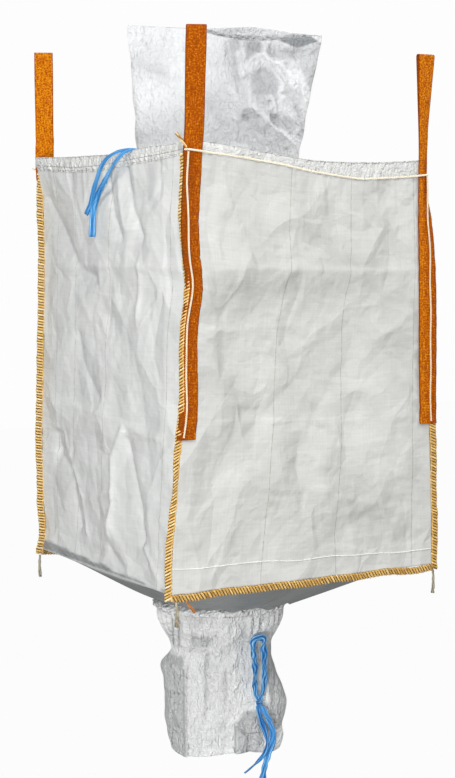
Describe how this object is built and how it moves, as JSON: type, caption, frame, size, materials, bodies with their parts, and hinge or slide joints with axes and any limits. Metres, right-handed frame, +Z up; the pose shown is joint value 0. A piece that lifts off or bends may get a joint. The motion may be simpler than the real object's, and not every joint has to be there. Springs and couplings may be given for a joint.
{
  "type": "bulk bag",
  "caption": "Woven bulk bag with a box body, corner lifting loops, a fill spout on top and a discharge spout below, hung by its loops",
  "frame": {"origin": "Centre of the four lifting loops, at the level where they bear on the lifting bars", "axes": "+Z up, +X along the front side panel, the front side panel faces -Y; the U panel makes the walls at -X and +X and the base"},
  "size_m": [0.9708, 0.9358, 2.4476],
  "materials": {
    "body_fabric": "satin",
    "spout_fabric": "satin",
    "webbing": "matte",
    "overlock_thread": "matte",
    "chain_stitch_thread": "matte",
    "lock_stitch_thread": "matte",
    "filler_cord": "matte",
    "tie_tape": "satin",
    "orange_thread": "matte"
  },
  "bodies": {
    "bag": {"back_hem": "body_fabric", "back_panel": "body_fabric", "bottom_seam_back": "overlock_thread", "bottom_seam_front": "overlock_thread", "bottom_stitch_back": "lock_stitch_thread", "bottom_stitch_front": "lock_stitch_thread", "bottom_thread_tuft": "orange_thread", "corner_seam_back_left": "overlock_thread", "corner_seam_back_right": "overlock_thread", "corner_seam_front_left": "overlock_thread", "corner_seam_front_right": "overlock_thread", "discharge_ring": "spout_fabric", "fill_collar": "spout_fabric", "fill_tie_long": "tie_tape", "fill_tie_short": "tie_tape", "front_hem": "body_fabric", "front_panel": "body_fabric", "hem_chain_back": "chain_stitch_thread", "hem_chain_front": "chain_stitch_thread", "hem_rows_left": "lock_stitch_thread", "hem_rows_right": "lock_stitch_thread", "hem_thread_tuft": "overlock_thread", "left_hem": "body_fabric", "leg_stitch_back_left": "chain_stitch_thread", "leg_stitch_back_right": "chain_stitch_thread", "leg_stitch_front_left": "chain_stitch_thread", "leg_stitch_front_right": "chain_stitch_thread", "loop_leg_back_left": "webbing", "loop_leg_back_right": "webbing", "loop_leg_front_left": "webbing", "loop_leg_front_right": "webbing", "right_hem": "body_fabric", "seam_tail_back_left": "filler_cord", "seam_tail_back_right": "filler_cord", "seam_tail_front_left": "filler_cord", "seam_tail_front_right": "filler_cord", "top_panel": "body_fabric", "u_panel": "body_fabric"},
    "front_left_loop": {"lifting_loop_front_left": "webbing"},
    "front_right_loop": {"lifting_loop_front_right": "webbing"},
    "back_left_loop": {"lifting_loop_back_left": "webbing"},
    "back_right_loop": {"lifting_loop_back_right": "webbing"},
    "fill_sleeve": {"fill_spout": "spout_fabric"},
    "discharge_sleeve": {"discharge_spout": "spout_fabric", "discharge_tie_bow": "tie_tape", "discharge_tie_knot": "tie_tape", "discharge_tie_left": "tie_tape", "discharge_tie_right": "tie_tape"}
  },
  "joints": [
    {"name": "front_left_loop_fold", "type": "hinge", "parent": "bag", "child": "front_left_loop", "pos_m": [-0.438, -0.4575, -0.35], "axis": [1, 0, 0], "range_deg": [0, 150]},
    {"name": "front_right_loop_fold", "type": "hinge", "parent": "bag", "child": "front_right_loop", "pos_m": [0.438, -0.4575, -0.35], "axis": [1, 0, 0], "range_deg": [0, 150]},
    {"name": "back_left_loop_fold", "type": "hinge", "parent": "bag", "child": "back_left_loop", "pos_m": [-0.438, 0.4575, -0.35], "axis": [-1, 0, 0], "range_deg": [0, 150]},
    {"name": "back_right_loop_fold", "type": "hinge", "parent": "bag", "child": "back_right_loop", "pos_m": [0.438, 0.4575, -0.35], "axis": [-1, 0, 0], "range_deg": [0, 150]},
    {"name": "fill_spout_fold", "type": "hinge", "parent": "bag", "child": "fill_sleeve", "pos_m": [0.07407, 0.11406, -0.4207], "axis": [-0.8387, 0.5446, 0], "range_deg": [0, 65]},
    {"name": "discharge_spout_fold", "type": "hinge", "parent": "bag", "child": "discharge_sleeve", "pos_m": [0.10838, 0.1669, -1.8023], "axis": [0.8387, -0.5446, 0], "range_deg": [0, 85]}
  ]
}
